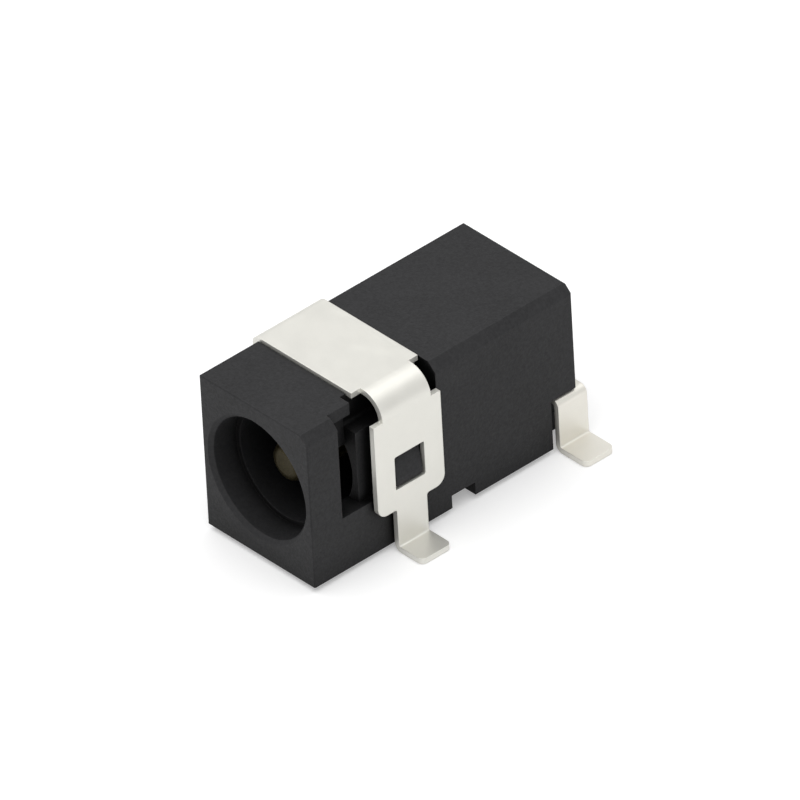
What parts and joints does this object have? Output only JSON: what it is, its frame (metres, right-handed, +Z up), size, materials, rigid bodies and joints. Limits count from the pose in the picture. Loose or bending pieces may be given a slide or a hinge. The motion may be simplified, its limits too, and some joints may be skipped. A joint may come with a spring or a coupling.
{
  "type": "dc barrel jack",
  "caption": "Surface-mount DC power jack: black moulded housing, round plug bore with a centre pin, and a folded metal retention clip with board feet.",
  "frame": {"origin": "centre of the bounding box's bottom, on the board plane", "axes": "+Z up from the board, +Y from the mouth to the rear, +X to the side with the pocket and the wide clip bend"},
  "size_m": [0.0112, 0.017, 0.0089],
  "materials": {
    "housing_plastic": "fine moulded texture",
    "cover_plastic": "fine moulded texture",
    "tinned_sheet": "tin plated sheet, satin",
    "plated_contact": "tin plated copper alloy, satin",
    "pin_brass": "plated brass, turned"
  },
  "bodies": {
    "root": {"housing": "housing_plastic", "rear_cover": "cover_plastic", "centre_pin": "pin_brass", "pin_terminal": "plated_contact", "sleeve_contact": "plated_contact", "retention_clip": "tinned_sheet"}
  },
  "joints": []
}
